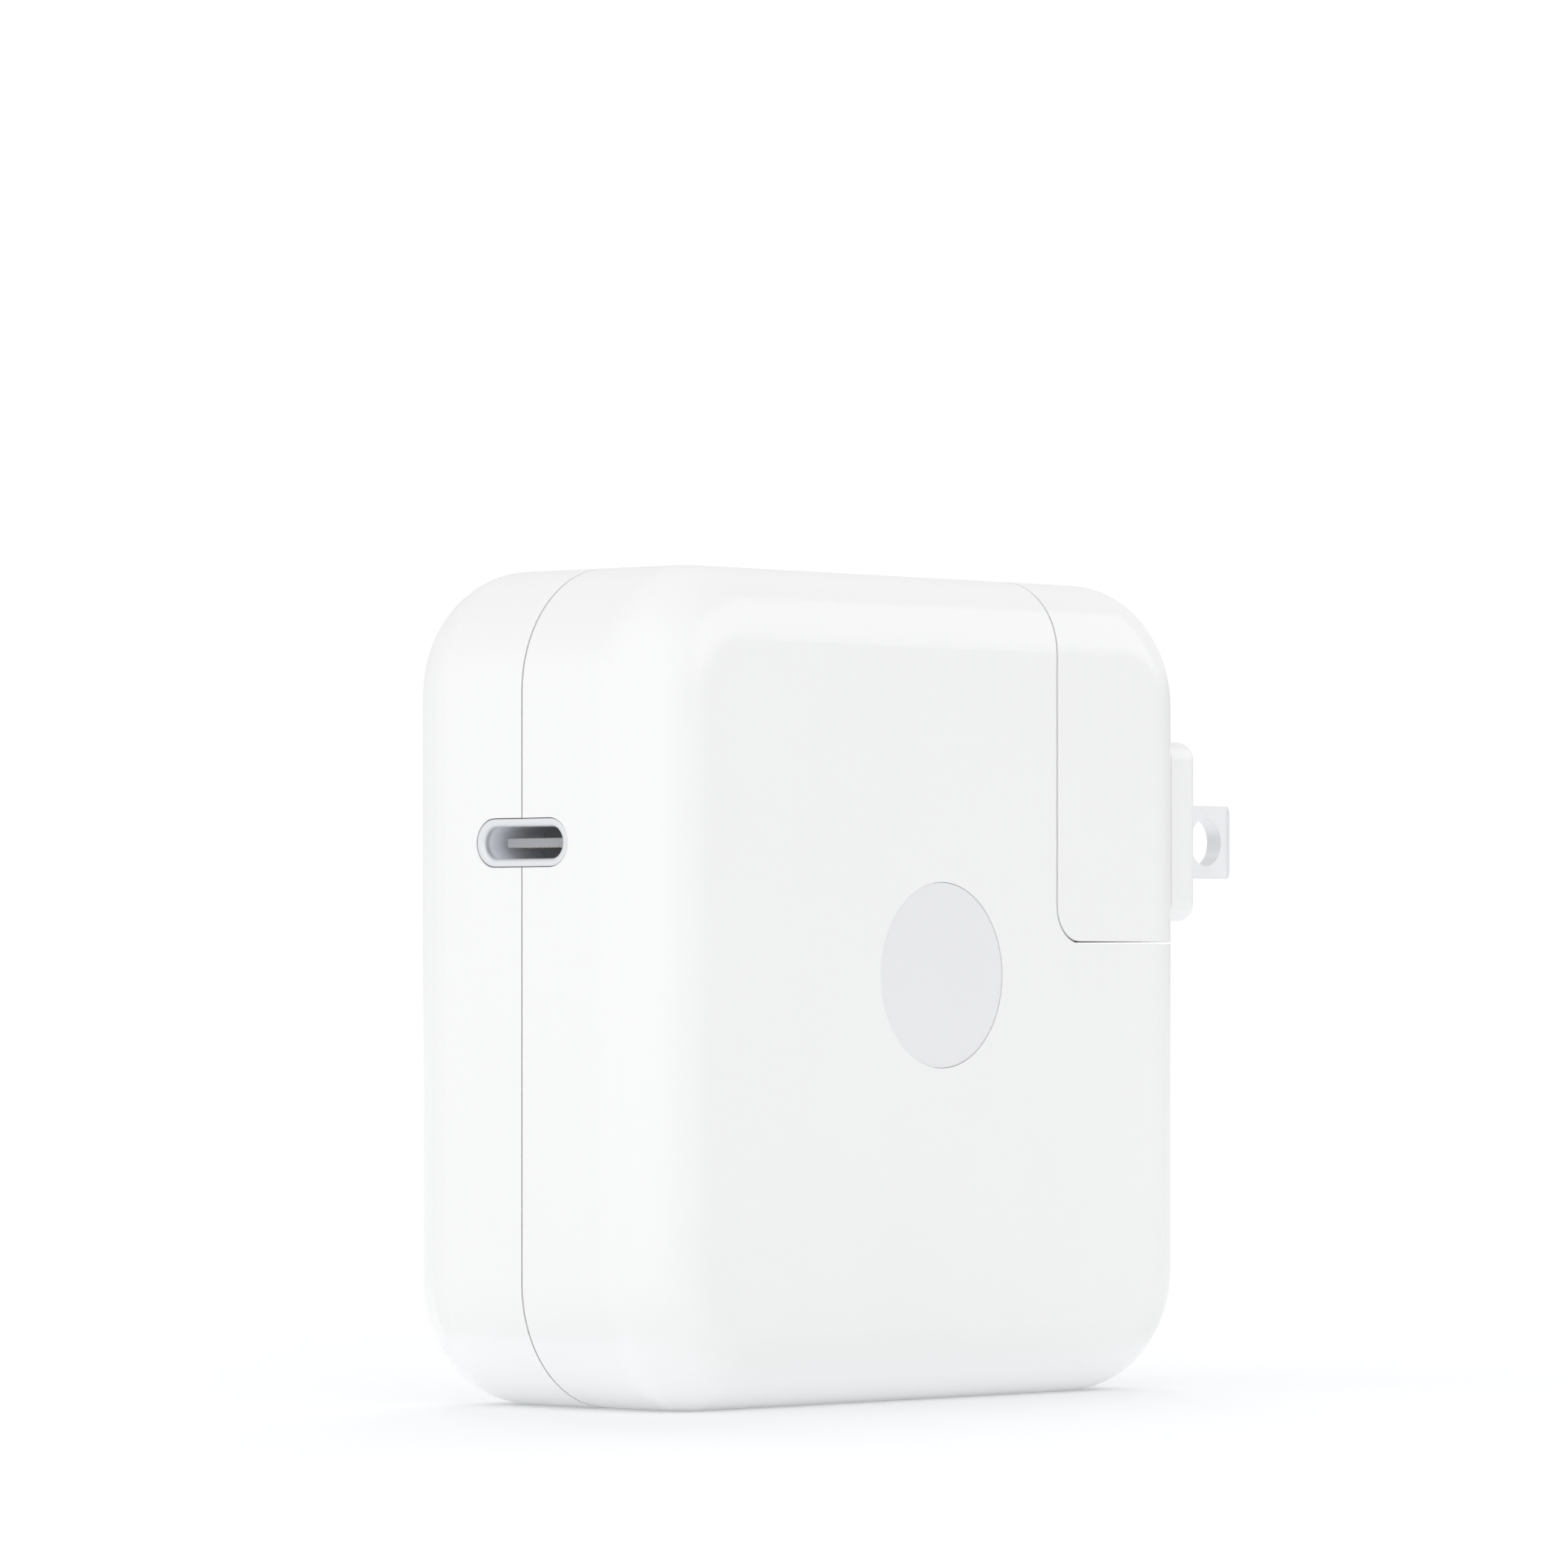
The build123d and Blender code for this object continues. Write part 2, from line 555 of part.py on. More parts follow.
output_capacitor("output_capacitor_lower", 50.4)
output_capacitor("output_capacitor_upper", 57.0)

INDUCTOR_X = (-19.4, -14.0)
INDUCTOR_Z = (34.6, 41.0)
INDUCTOR_TOP = 0.8
with BuildPart() as output_inductor:
    add(block(INDUCTOR_X, (INDUCTOR_TOP, BOARD_FRONT), INDUCTOR_Z))
    chamfer(output_inductor.edges().filter_by(Axis.Y), 0.5)
save(output_inductor, "output_inductor")

OPTO_X = (-4.0, 2.5)
OPTO_Z = (47.4, 51.3)
OPTO_TOP = 1.9
with BuildPart() as optocoupler:
    add(block(OPTO_X, (OPTO_TOP, BOARD_FRONT - STAND_OFF), OPTO_Z))
    for leg_x in (OPTO_X[0] + 2.0, OPTO_X[1] - 2.0):
        add(block((leg_x - 0.3, leg_x + 0.3), (BOARD_FRONT - STAND_OFF - 0.1, BOARD_FRONT),
                  (OPTO_Z[0] + 0.2, OPTO_Z[1] - 0.2)))
save(optocoupler, "optocoupler")

CONTROLLER_X = (-19.0, -14.0)
CONTROLLER_Z = (44.6, 49.6)
CONTROLLER_THICKNESS = 0.9
with BuildPart() as usb_controller:
    add(block(CONTROLLER_X, (BOARD_FRONT - CONTROLLER_THICKNESS, BOARD_FRONT), CONTROLLER_Z))
save(usb_controller, "usb_controller")

# ---------------------------------------------------------------- transformer
CORE_MIDDLE = (-1.8, 36.5)       # X, Z of the centre leg
CORE_WIDTH = 22.0
CORE_HEIGHT = 15.0
CORE_PLATE = 2.8
LEG_WIDTH = 2.4
CENTRE_LEG = 4.0
CORE_Y = (-9.6, 5.2)
CORE_MIDDLE_Y = (CORE_Y[0] + CORE_Y[1]) / 2
BOBBIN_FLANGE = 8.3
BOBBIN_WALL = 0.7


def transformer_core(name, y_outside):
    """One ferrite half: a plate, two side legs and half of the round centre leg."""
    core_x, core_z = CORE_MIDDLE
    inward = 1 if y_outside < CORE_MIDDLE_Y else -1
    plate = sorted((y_outside, y_outside + inward * CORE_PLATE))
    reach = sorted((y_outside, CORE_MIDDLE_Y))
    z_range = (core_z - CORE_HEIGHT / 2, core_z + CORE_HEIGHT / 2)
    with BuildPart() as core:
        add(block((core_x - CORE_WIDTH / 2, core_x + CORE_WIDTH / 2), plate, z_range))
        for side in (-1, 1):
            outer = core_x + side * CORE_WIDTH / 2
            inner = outer - side * LEG_WIDTH
            add(block(sorted((inner, outer)), reach, z_range))
        add(can(core_x, core_z, CENTRE_LEG, reach))
    save(core, name)


transformer_core("transformer_core_front", CORE_Y[0])
transformer_core("transformer_core_rear", CORE_Y[1])

SPOOL_Y = (CORE_Y[0] + CORE_PLATE, CORE_Y[1] - CORE_PLATE)
with BuildPart() as transformer_bobbin:
    add(can(*CORE_MIDDLE, CENTRE_LEG + BOBBIN_WALL, SPOOL_Y, hole=CENTRE_LEG))
    add(can(*CORE_MIDDLE, BOBBIN_FLANGE, (SPOOL_Y[0], SPOOL_Y[0] + BOBBIN_WALL), hole=CENTRE_LEG))
    add(can(*CORE_MIDDLE, BOBBIN_FLANGE, (SPOOL_Y[1] - BOBBIN_WALL, SPOOL_Y[1]), hole=CENTRE_LEG))
save(transformer_bobbin, "transformer_bobbin")

with BuildPart() as transformer_winding:
    winding_y = (SPOOL_Y[0] + BOBBIN_WALL, SPOOL_Y[1] - BOBBIN_WALL)
    add(can(*CORE_MIDDLE, BOBBIN_FLANGE - 0.4, winding_y, hole=CENTRE_LEG + BOBBIN_WALL))
save(transformer_winding, "transformer_winding")

with BuildPart() as transformer_thermal_pad:
    add(block((-11.0, 7.4), (-FILM_Y[0], CORE_Y[0]), (29.6, 43.4), corner=0.5))
save(transformer_thermal_pad, "transformer_thermal_pad")

# ---------------------------------------------------------------- mains inlet and mounting button
INLET_BOTTOM = 22.0
FLANGE_THICKNESS = 1.4


def figure_eight(lobe_y, radius, z_low, z_high):
    """Two round lobes side by side along Y, as one solid."""
    with BuildPart() as lobes:
        with BuildSketch(Plane.XY.offset(z_low)):
            with Locations((INLET_X, lobe_y), (INLET_X, -lobe_y)):
                Circle(radius)
        extrude(amount=z_high - z_low)
    return lobes.part


with BuildPart() as inlet_socket:
    with BuildSketch(Plane.XY.offset(INLET_BOTTOM)):
        with Locations((INLET_X, 0)):
            RectangleRounded(INLET_BODY[0], INLET_BODY[1], INLET_CORNER)
    extrude(amount=NOTCH_Z - INLET_BOTTOM)
    # flange that catches under the notch floor
    with BuildSketch(Plane.XY.offset(NOTCH_Z - WALL - FLANGE_THICKNESS)):
        with Locations((INLET_X, 0)):
            RectangleRounded(INLET_BODY[0] + INLET_FLANGE, INLET_BODY[1] + 2 * INLET_FLANGE, INLET_CORNER)
    extrude(amount=FLANGE_THICKNESS)
    add(figure_eight(INLET_LOBE_Y, INLET_LOBE_RADIUS, INLET_FLOOR, NOTCH_Z + 1), mode=Mode.SUBTRACT)
    with BuildSketch(Plane.XY.offset(INLET_BOTTOM - 1)):
        with Locations((INLET_X, INLET_PITCH / 2), (INLET_X, -INLET_PITCH / 2)):
            Circle(INLET_PIN_RADIUS)
    extrude(amount=5, mode=Mode.SUBTRACT)
save(inlet_socket, "inlet_socket")

INLET_PIN_TOP = 34.5
TAIL_Z = (18.7, 19.5)
TAIL_HALF = 0.4                 # half thickness of the flat tail
TAIL_STEP = 2.6                 # how far the tail steps sideways


def inlet_pin(name, side):
    """A round contact pin with a flat tail that turns back to the main board."""
    pin_y = side * INLET_PITCH / 2
    with BuildPart() as pin:
        with BuildSketch(Plane.XY.offset(INLET_BOTTOM)):
            with Locations((INLET_X, pin_y)):
                Circle(INLET_PIN_RADIUS)
        extrude(amount=INLET_PIN_TOP - INLET_BOTTOM)
        fillet(pin.faces().sort_by(Axis.Z)[-1].edges(), 0.7)
        # the tail drops below the moulding, steps sideways and runs back to the board
        tail_y = (pin_y - TAIL_HALF, pin_y + TAIL_HALF)
        add(block((INLET_X - 0.9, INLET_X + 0.9), tail_y, (TAIL_Z[0], INLET_BOTTOM)))
        add(block(sorted((INLET_X, INLET_X + side * TAIL_STEP)), tail_y, TAIL_Z))
        run_x = sorted((INLET_X + side * TAIL_STEP / 2, INLET_X + side * TAIL_STEP))
        add(block(run_x, (tail_y[0], BOARD_FRONT), TAIL_Z))
    save(pin, name)


inlet_pin("inlet_pin_front", -1)
inlet_pin("inlet_pin_rear", 1)

with BuildPart() as mounting_stud:
    # half of its outline: head and neck in the notch, shank through the wall
    shank_x = NOTCH_X - WALL - 1.6
    with BuildSketch(Plane.XZ):
        with BuildLine():
            Polyline((NOTCH_X, STUD_Z), (STUD_HEAD_X[1], STUD_Z), (STUD_HEAD_X[1], STUD_Z + STUD_HEAD_RADIUS),
                     (STUD_HEAD_X[0], STUD_Z + STUD_HEAD_RADIUS), (STUD_HEAD_X[0], STUD_Z + STUD_NECK_RADIUS),
                     (NOTCH_X, STUD_Z + STUD_NECK_RADIUS), close=True)
        make_face()
        with BuildLine():
            Polyline((shank_x, STUD_Z), (NOTCH_X, STUD_Z), (NOTCH_X, STUD_Z + STUD_SHANK_RADIUS),
                     (shank_x, STUD_Z + STUD_SHANK_RADIUS), close=True)
        make_face()
    revolve(axis=Axis((0, 0, STUD_Z), (1, 0, 0)))
    fillet(mounting_stud.faces().sort_by(Axis.X)[-1].edges(), 0.35)
save(mounting_stud, "mounting_stud")

WASHER_THICKNESS = 0.9
with BuildPart() as stud_washer:
    with BuildSketch(Plane.YZ.offset(NOTCH_X - WALL - WASHER_THICKNESS)):
        with Locations((0, STUD_Z)):
            Circle(WASHER_RADIUS)
            Circle(STUD_SHANK_RADIUS + 0.03, mode=Mode.SUBTRACT)
    extrude(amount=WASHER_THICKNESS)
save(stud_washer, "stud_washer")

# ---------------------------------------------------------------- plug module housing
MODULE_WALL = 2.2
MODULE_INNER_X = SIDE / 2 - MODULE_WALL
MODULE_Y = HALF_DEPTH - MODULE_WALL
SLOT_WIDTH = 2.1
SLOT_Z = (41.8, 60.5)
SLOT_BACK_X = 26.0
RIB_WALL = 1.2
BORE_RADIUS = BARREL_RADIUS + 0.3
BORE_HALF = BARREL_HALF + 0.3
BEARING_RADIUS = AXLE_RADIUS + 0.05
BEARING_BLOCK = (2.4, 2.8)      # reach behind the axle and half height
PAD_CORNER = 1.5

with BuildPart() as module_form:
    add(rounded_block(0))
    add(notch_prism(MODULE_GAP), mode=Mode.INTERSECT)

with BuildPart() as module_hollow:
    add(rounded_block(MODULE_WALL))
    add(notch_prism(MODULE_GAP - 2.0), mode=Mode.INTERSECT)


def across_y(x, z, radius, half):
    """A round bar along Y, centred on the symmetry plane."""
    with BuildPart() as bar:
        with BuildSketch(Plane.XZ):
            with Locations((x, z)):
                Circle(radius)
        extrude(amount=half, both=True)
    return bar.part


with BuildPart() as prong_pad:
    pad_middle_z = (PAD_Z[0] + PAD_Z[1]) / 2
    with BuildSketch(Plane.YZ.offset(SIDE / 2 - 1.0)):
        with Locations((0, pad_middle_z)):
            RectangleRounded(2 * PAD_HALF, PAD_Z[1] - PAD_Z[0], PAD_CORNER)
    extrude(amount=PAD_HEIGHT + 1.0)
    fillet(prong_pad.faces().sort_by(Axis.X)[-1].edges(), PAD_ROUND)

with BuildPart() as plug_housing:
    add(module_form.part)
    add(module_hollow.part, mode=Mode.SUBTRACT)
    add(prong_pad.part)
    # ribs that wall in the slots the prongs fold into, and the axle bearings
    for side in (-1, 1):
        slot_y = side * BLADE_Y
        rib_half = SLOT_WIDTH / 2 + RIB_WALL
        add(block((SLOT_BACK_X - RIB_WALL, MODULE_INNER_X + 0.5), (slot_y - rib_half, slot_y + rib_half),
                  (PIVOT_Z + BORE_RADIUS + 0.3, SLOT_Z[1] + RIB_WALL)))
        bearing_y = sorted((side * BORE_HALF, side * (AXLE_END + 0.1)))
        add(block((PIVOT_X - BEARING_BLOCK[0], MODULE_INNER_X + 0.5), bearing_y,
                  (PIVOT_Z - BEARING_BLOCK[1], PIVOT_Z + BEARING_BLOCK[1])))
    add(across_y(PIVOT_X, PIVOT_Z, BORE_RADIUS, BORE_HALF), mode=Mode.SUBTRACT)
    for side in (-1, 1):
        slot_y = side * BLADE_Y
        add(block((SLOT_BACK_X, SIDE), (slot_y - SLOT_WIDTH / 2, slot_y + SLOT_WIDTH / 2), SLOT_Z),
            mode=Mode.SUBTRACT)
    # axle bearings, open to the inside so that the carrier can be laid in
    axle_half = AXLE_END + 0.1
    add(across_y(PIVOT_X, PIVOT_Z, BEARING_RADIUS, axle_half), mode=Mode.SUBTRACT)
    add(block((PIVOT_X - 3.0, PIVOT_X), (-axle_half, axle_half),
              (PIVOT_Z - BEARING_RADIUS, PIVOT_Z + BEARING_RADIUS)), mode=Mode.SUBTRACT)
save(plug_housing, "plug_housing")

# ---------------------------------------------------------------- plug module cover
COVER_X = 16.05                  # inner face of the upright plate
COVER_Z = NOTCH_Z + MODULE_GAP + 1.4
COVER_GAP = 0.05
NECK_SLOT = 5.6
HEAD_SLOT = 9.8
RAIL_X = 18.3                    # rails reach this far in
RAIL_TOP = 57.4
RAIL_THICKNESS = 1.2
CLIP_X = (17.6, 17.95)           # spring clip that bears on the button's head
NOSE_BORE_RADIUS = 1.78
NOSE_MOUTH_RADIUS = 1.45

with BuildPart() as cover_limit:
    add(rounded_block(MODULE_WALL + COVER_GAP))
    add(notch_prism(MODULE_GAP), mode=Mode.INTERSECT)

with BuildPart() as plug_cover:
    add(cover_limit.part)
    # hollow out everything but the L of the upright and the bottom plate
    add(notch_prism(0).moved(Location((COVER_X - NOTCH_X, 0, COVER_Z - NOTCH_Z))), mode=Mode.SUBTRACT)
    # rails beside the head of the mounting button, and a boss for its clip
    for side in (-1, 1):
        rail_y = sorted((side * HEAD_SLOT / 2, side * (HEAD_SLOT / 2 + RAIL_THICKNESS)))
        add(block((COVER_X - 0.2, RAIL_X), rail_y, (COVER_Z - 0.2, RAIL_TOP)))
    add(block((COVER_X - 0.2, CLIP_X[0]), (-3.0, 3.0), (58.6, 61.6)))
    # slot for the neck of the button, round at its end
    add(block((NOTCH_X - 1, COVER_X + 0.1), (-NECK_SLOT / 2, NECK_SLOT / 2), (NOTCH_Z - 1, STUD_Z)),
        mode=Mode.SUBTRACT)
    with BuildSketch(Plane.YZ.offset(NOTCH_X - 1)):
        with Locations((0, STUD_Z)):
            Circle(NECK_SLOT / 2)
    extrude(amount=COVER_X - NOTCH_X + 1.1, mode=Mode.SUBTRACT)
    # way out for its head through the bottom plate
    add(block((COVER_X, RAIL_X), (-HEAD_SLOT / 2, HEAD_SLOT / 2), (NOTCH_Z - 1, COVER_Z + NOTCH_CORNER)),
        mode=Mode.SUBTRACT)
    # figure-8 nose that enters the mains inlet
    add(figure_eight(NOSE_LOBE_Y, NOSE_LOBE_RADIUS, NOSE_TIP_Z, COVER_Z))
    for side in (-1, 1):
        pin_place = (INLET_X, side * INLET_PITCH / 2)
        with BuildSketch(Plane.XY.offset(NOSE_TIP_Z - 1)):
            with Locations(pin_place):
                Circle(NOSE_MOUTH_RADIUS)
        extrude(amount=3, mode=Mode.SUBTRACT)
        with BuildSketch(Plane.XY.offset(NOSE_TIP_Z + 1.0)):
            with Locations(pin_place):
                Circle(NOSE_BORE_RADIUS)
        extrude(amount=COVER_Z - NOSE_TIP_Z, mode=Mode.SUBTRACT)
save(plug_cover, "plug_cover")

# ---------------------------------------------------------------- plug module contacts
SOCKET_Z = (NOSE_TIP_Z + 1.0, 38.8)
SPRING_X = 27.35                 # contact face, just clear of the barrel
TUBE_OUTER = 1.75
TUBE_INNER = 1.25
STRIP = 0.45                     # thickness of the contact strips
STRIP_HALF = 0.8


def socket_contact(name, side):
    """A brass tube in the nose that grips one inlet pin, closed at its top."""
    with BuildPart() as tube:
        with BuildSketch(Plane.XY.offset(SOCKET_Z[0])):
            with Locations((INLET_X, side * INLET_PITCH / 2)):
                Circle(TUBE_OUTER)
        extrude(amount=SOCKET_Z[1] - SOCKET_Z[0])
        with BuildSketch(Plane.XY.offset(SOCKET_Z[0])):
            with Locations((INLET_X, side * INLET_PITCH / 2)):
                Circle(TUBE_INNER)
        extrude(amount=SOCKET_Z[1] - SOCKET_Z[0] - 0.6, mode=Mode.SUBTRACT)
    save(tube, name)


def contact_spring(name, side):
    """A bronze strip from the socket tube up to the root of one prong."""
    leaf_y = sorted((side * (BLADE_Y - STRIP_HALF), side * (BLADE_Y + STRIP_HALF)))
    foot_y = sorted((side * (INLET_PITCH / 2 - STRIP_HALF), side * (BLADE_Y + STRIP_HALF)))
    with BuildPart() as spring:
        add(block((SPRING_X - STRIP, SPRING_X), leaf_y, (SOCKET_Z[1], PIVOT_Z + 0.4)))
        add(block((INLET_X - 1.0, SPRING_X), foot_y, (SOCKET_Z[1], SOCKET_Z[1] + STRIP)))
    save(spring, name)


for place, side in (("front", -1), ("rear", 1)):
    socket_contact(f"socket_contact_{place}", side)
    contact_spring(f"contact_spring_{place}", side)

with BuildPart() as stud_clip:
    add(block(CLIP_X, (-2.5, 2.5), (45.5, 61.6)))
    fillet(stud_clip.edges().filter_by(Axis.X), 0.8)
save(stud_clip, "stud_clip")

RETAINER_X = (24.2, 25.6)
RETAINER_Z = (PIVOT_Z - 1.1, PIVOT_Z + 1.1)
SEAT_HALF = 3.6                  # wider middle that carries the detent spring
SEAT_HALF_HEIGHT = 3.2
with BuildPart() as carrier_retainer:
    add(block(RETAINER_X, (-MODULE_Y + 0.05, MODULE_Y - 0.05), RETAINER_Z))
    add(block(RETAINER_X, (-SEAT_HALF, SEAT_HALF), (PIVOT_Z - SEAT_HALF_HEIGHT, PIVOT_Z + SEAT_HALF_HEIGHT)))
    for side in (-1, 1):
        arm_y = sorted((side * (BORE_HALF + 0.1), side * AXLE_END))
        add(block((RETAINER_X[0], PIVOT_X - AXLE_RADIUS - 0.1), arm_y, RETAINER_Z))
save(carrier_retainer, "carrier_retainer")

with BuildPart() as detent_spring:
    # a bowed leaf that presses on the barrel
    crown_x = PIVOT_X - BARREL_RADIUS - 0.1
    leaf = 0.3
    outer, inner = 3.0, 2.5
    foot_x = RETAINER_X[1]
    with BuildSketch(Plane.XZ):
        with BuildLine():
            ThreePointArc((foot_x, PIVOT_Z - outer), (crown_x, PIVOT_Z), (foot_x, PIVOT_Z + outer))
            Line((foot_x, PIVOT_Z + outer), (foot_x, PIVOT_Z + inner))
            ThreePointArc((foot_x, PIVOT_Z + inner), (crown_x - leaf, PIVOT_Z), (foot_x, PIVOT_Z - inner))
            Line((foot_x, PIVOT_Z - inner), (foot_x, PIVOT_Z - outer))
        make_face()
    extrude(amount=2.5, both=True)
save(detent_spring, "detent_spring")

# ---------------------------------------------------------------- folding prongs
ROOT_X = PIVOT_X - 2.6           # contact end of a prong, inside the barrel
ROOT_HALF = 1.2
TIP_BEVEL_X = 0.9
TIP_BEVEL_Y = 0.35
TIP_CORNER = 0.8


def prong(name, side):
    """A flat blade with a round hole, and a narrow root held in the barrel."""
    y_middle = side * BLADE_Y
    half = BLADE_THICKNESS / 2
    bevel_start = BLADE_TIP_X - TIP_BEVEL_X
    with BuildPart() as blade:
        # seen from the front: a strip with rounded tip corners
        add(block((PIVOT_X + 1.0, BLADE_TIP_X), (y_middle - half, y_middle + half),
                  (BLADE_Z - BLADE_WIDTH / 2, BLADE_Z + BLADE_WIDTH / 2)))
        fillet(blade.edges().filter_by(Axis.Y).group_by(Axis.X)[-1], TIP_CORNER)
        # seen from above: a tip bevelled on both sides
        with BuildSketch(Plane.XY):
            with BuildLine():
                Polyline((PIVOT_X, y_middle - half), (bevel_start, y_middle - half),
                         (BLADE_TIP_X, y_middle - half + TIP_BEVEL_Y),
                         (BLADE_TIP_X, y_middle + half - TIP_BEVEL_Y),
                         (bevel_start, y_middle + half), (PIVOT_X, y_middle + half), close=True)
            make_face()
        extrude(amount=SIDE, mode=Mode.INTERSECT)
        add(block((ROOT_X, PIVOT_X + 1.0), (y_middle - half, y_middle + half),
                  (PIVOT_Z - ROOT_HALF, PIVOT_Z + ROOT_HALF)))
        with BuildSketch(front_plane(y_middle + half + 1)):
            with Locations((BLADE_HOLE_X, BLADE_Z)):
                Circle(BLADE_HOLE_RADIUS)
        extrude(amount=BLADE_THICKNESS + 2, mode=Mode.SUBTRACT)
    save(blade, name)
    return blade.part


prongs = [prong("prong_front", -1), prong("prong_rear", 1)]

with BuildPart() as prong_carrier:
    add(across_y(PIVOT_X, PIVOT_Z, BARREL_RADIUS, BARREL_HALF))
    add(across_y(PIVOT_X, PIVOT_Z, AXLE_RADIUS, AXLE_END))
    chamfer(prong_carrier.faces().sort_by(Axis.Y)[0].edges(), 0.2)
    chamfer(prong_carrier.faces().sort_by(Axis.Y)[-1].edges(), 0.2)
    for blade in prongs:
        add(blade, mode=Mode.SUBTRACT)
save(prong_carrier, "prong_carrier")
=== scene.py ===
import json
import math

import bpy
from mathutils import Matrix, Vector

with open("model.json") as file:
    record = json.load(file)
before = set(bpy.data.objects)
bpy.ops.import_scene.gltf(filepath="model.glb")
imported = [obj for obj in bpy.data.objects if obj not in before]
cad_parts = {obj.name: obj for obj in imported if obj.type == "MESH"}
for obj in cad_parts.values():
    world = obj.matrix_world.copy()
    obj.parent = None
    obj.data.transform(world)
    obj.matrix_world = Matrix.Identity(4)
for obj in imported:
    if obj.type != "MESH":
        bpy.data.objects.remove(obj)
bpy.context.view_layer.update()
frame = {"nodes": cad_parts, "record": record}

# Looks of the laptop power adapter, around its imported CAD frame. Metres, in the CAD's own frame.
NODES = frame["nodes"]
SCENE = bpy.context.scene
MM = 0.001


# ------------------------------------------------------------------ camera
CAMERA_PLACE = (-0.50905, -0.45562, 0.033)
CAMERA_TURN = (math.radians(90), 0, math.radians(-48.03))
CAMERA_LENS = 194.4
CAMERA_SHIFT_Y = 0.130
CAMERA_SENSOR = 36         # millimetres
CAMERA_NEAR = 0.01


def add_camera():
    """A long lens, level with the middle of the adapter, looking at the corner beside the socket."""
    data = bpy.data.cameras.new("camera")
    data.sensor_width = CAMERA_SENSOR
    data.lens = CAMERA_LENS
    data.shift_y = CAMERA_SHIFT_Y
    data.clip_start = CAMERA_NEAR
    camera = bpy.data.objects.new("camera", data)
    camera.location = CAMERA_PLACE
    camera.rotation_euler = CAMERA_TURN
    SCENE.collection.objects.link(camera)
    SCENE.camera = camera


add_camera()


# ------------------------------------------------------------------ node helpers
class Recipe:
    """A material's node tree, with short names for what the recipes below add to it."""

    def __init__(self, name):
        self.material = bpy.data.materials.new(name)
        self.material.use_nodes = True
        self.tree = self.material.node_tree
        self.shader = self.tree.nodes["Principled BSDF"]
        self.place = self.tree.nodes.new("ShaderNodeTexCoord").outputs["Object"]

    def link(self, source, target):
        self.tree.links.new(source, target)

    def set(self, **values):
        """Uniform values, straight on the shader's own sockets."""
        for key, value in values.items():
            self.shader.inputs[key.replace("_", " ")].default_value = value

    def stretched(self, scale):
        """Object coordinates scaled differently along each axis."""
        mapping = self.tree.nodes.new("ShaderNodeMapping")
        mapping.inputs["Scale"].default_value = scale
        self.link(self.place, mapping.inputs["Vector"])
        return mapping.outputs["Vector"]

    def noise(self, size_mm, detail=3.0, roughness=0.5, vector=None):
        """Noise whose lumps are about size_mm across."""
        node = self.tree.nodes.new("ShaderNodeTexNoise")
        node.inputs["Scale"].default_value = 1 / (size_mm * MM)
        node.inputs["Detail"].default_value = detail
        node.inputs["Roughness"].default_value = roughness
        self.link(vector or self.place, node.inputs["Vector"])
        return node.outputs["Fac"]

    def span(self, value, low, high, from_low=0.0, from_high=1.0):
        """value mapped evenly to the range from low to high."""
        node = self.tree.nodes.new("ShaderNodeMapRange")
        node.inputs["From Min"].default_value = from_low
        node.inputs["From Max"].default_value = from_high
        node.inputs["To Min"].default_value = low
        node.inputs["To Max"].default_value = high
        self.link(value, node.inputs["Value"])
        return node.outputs["Result"]

    def ramp(self, value, stops):
        """A colour ramp from a list of (position, colour)."""
        node = self.tree.nodes.new("ShaderNodeValToRGB")
        elements = node.color_ramp.elements
        while len(elements) < len(stops):
            elements.new(0.5)
        for element, (position, colour) in zip(elements, stops):
            element.position = position
            element.color = (*colour, 1)
        self.link(value, node.inputs["Fac"])
        return node.outputs["Color"]

    def bump(self, height, depth_mm):
        node = self.tree.nodes.new("ShaderNodeBump")
        node.inputs["Distance"].default_value = depth_mm * MM
        self.link(height, node.inputs["Height"])
        self.link(node.outputs["Normal"], self.shader.inputs["Normal"])

    def colour(self, socket):
        self.link(socket, self.shader.inputs["Base Color"])

    def roughness(self, socket):
        self.link(socket, self.shader.inputs["Roughness"])


def shade(value):
    """A neutral grey."""
    return (value, value, value)


# ------------------------------------------------------------------ materials
PLASTIC_GRAIN = 0.35       # millimetres
PLASTIC_IOR = 1.52


def moulded_plastic(name, light, dark, gloss, grain_depth=0.0015):
    """Injection-moulded plastic: faint cloudiness, a fine tool-polish grain and slightly uneven gloss."""
    recipe = Recipe(name)
    recipe.colour(recipe.ramp(recipe.noise(14, detail=1), [(0.2, dark), (0.8, light)]))
    recipe.roughness(recipe.span(recipe.noise(6, detail=2), gloss - 0.02, gloss + 0.03))
    recipe.bump(recipe.noise(PLASTIC_GRAIN, detail=2), grain_depth)
    recipe.set(IOR=PLASTIC_IOR)
    return recipe.material


METAL_LINES = 0.25         # millimetres
METAL_LINE_DEPTH = 0.0006


def plated_metal(name, light, dark, gloss, streak=(1, 1, 1), metallic=1.0):
    """Nickel-plated or bare metal: fine drawn lines, small colour drift and duller patches."""
    recipe = Recipe(name)
    lines = recipe.noise(METAL_LINES, detail=4, roughness=0.65, vector=recipe.stretched(streak))
    tone = recipe.noise(3.0, detail=3)
    recipe.colour(recipe.ramp(tone, [(0.3, dark), (0.7, light)]))
    recipe.roughness(recipe.span(lines, gloss - 0.03, gloss + 0.04, 0.3, 0.7))
    recipe.bump(lines, METAL_LINE_DEPTH)
    recipe.set(Metallic=metallic)
    return recipe.material


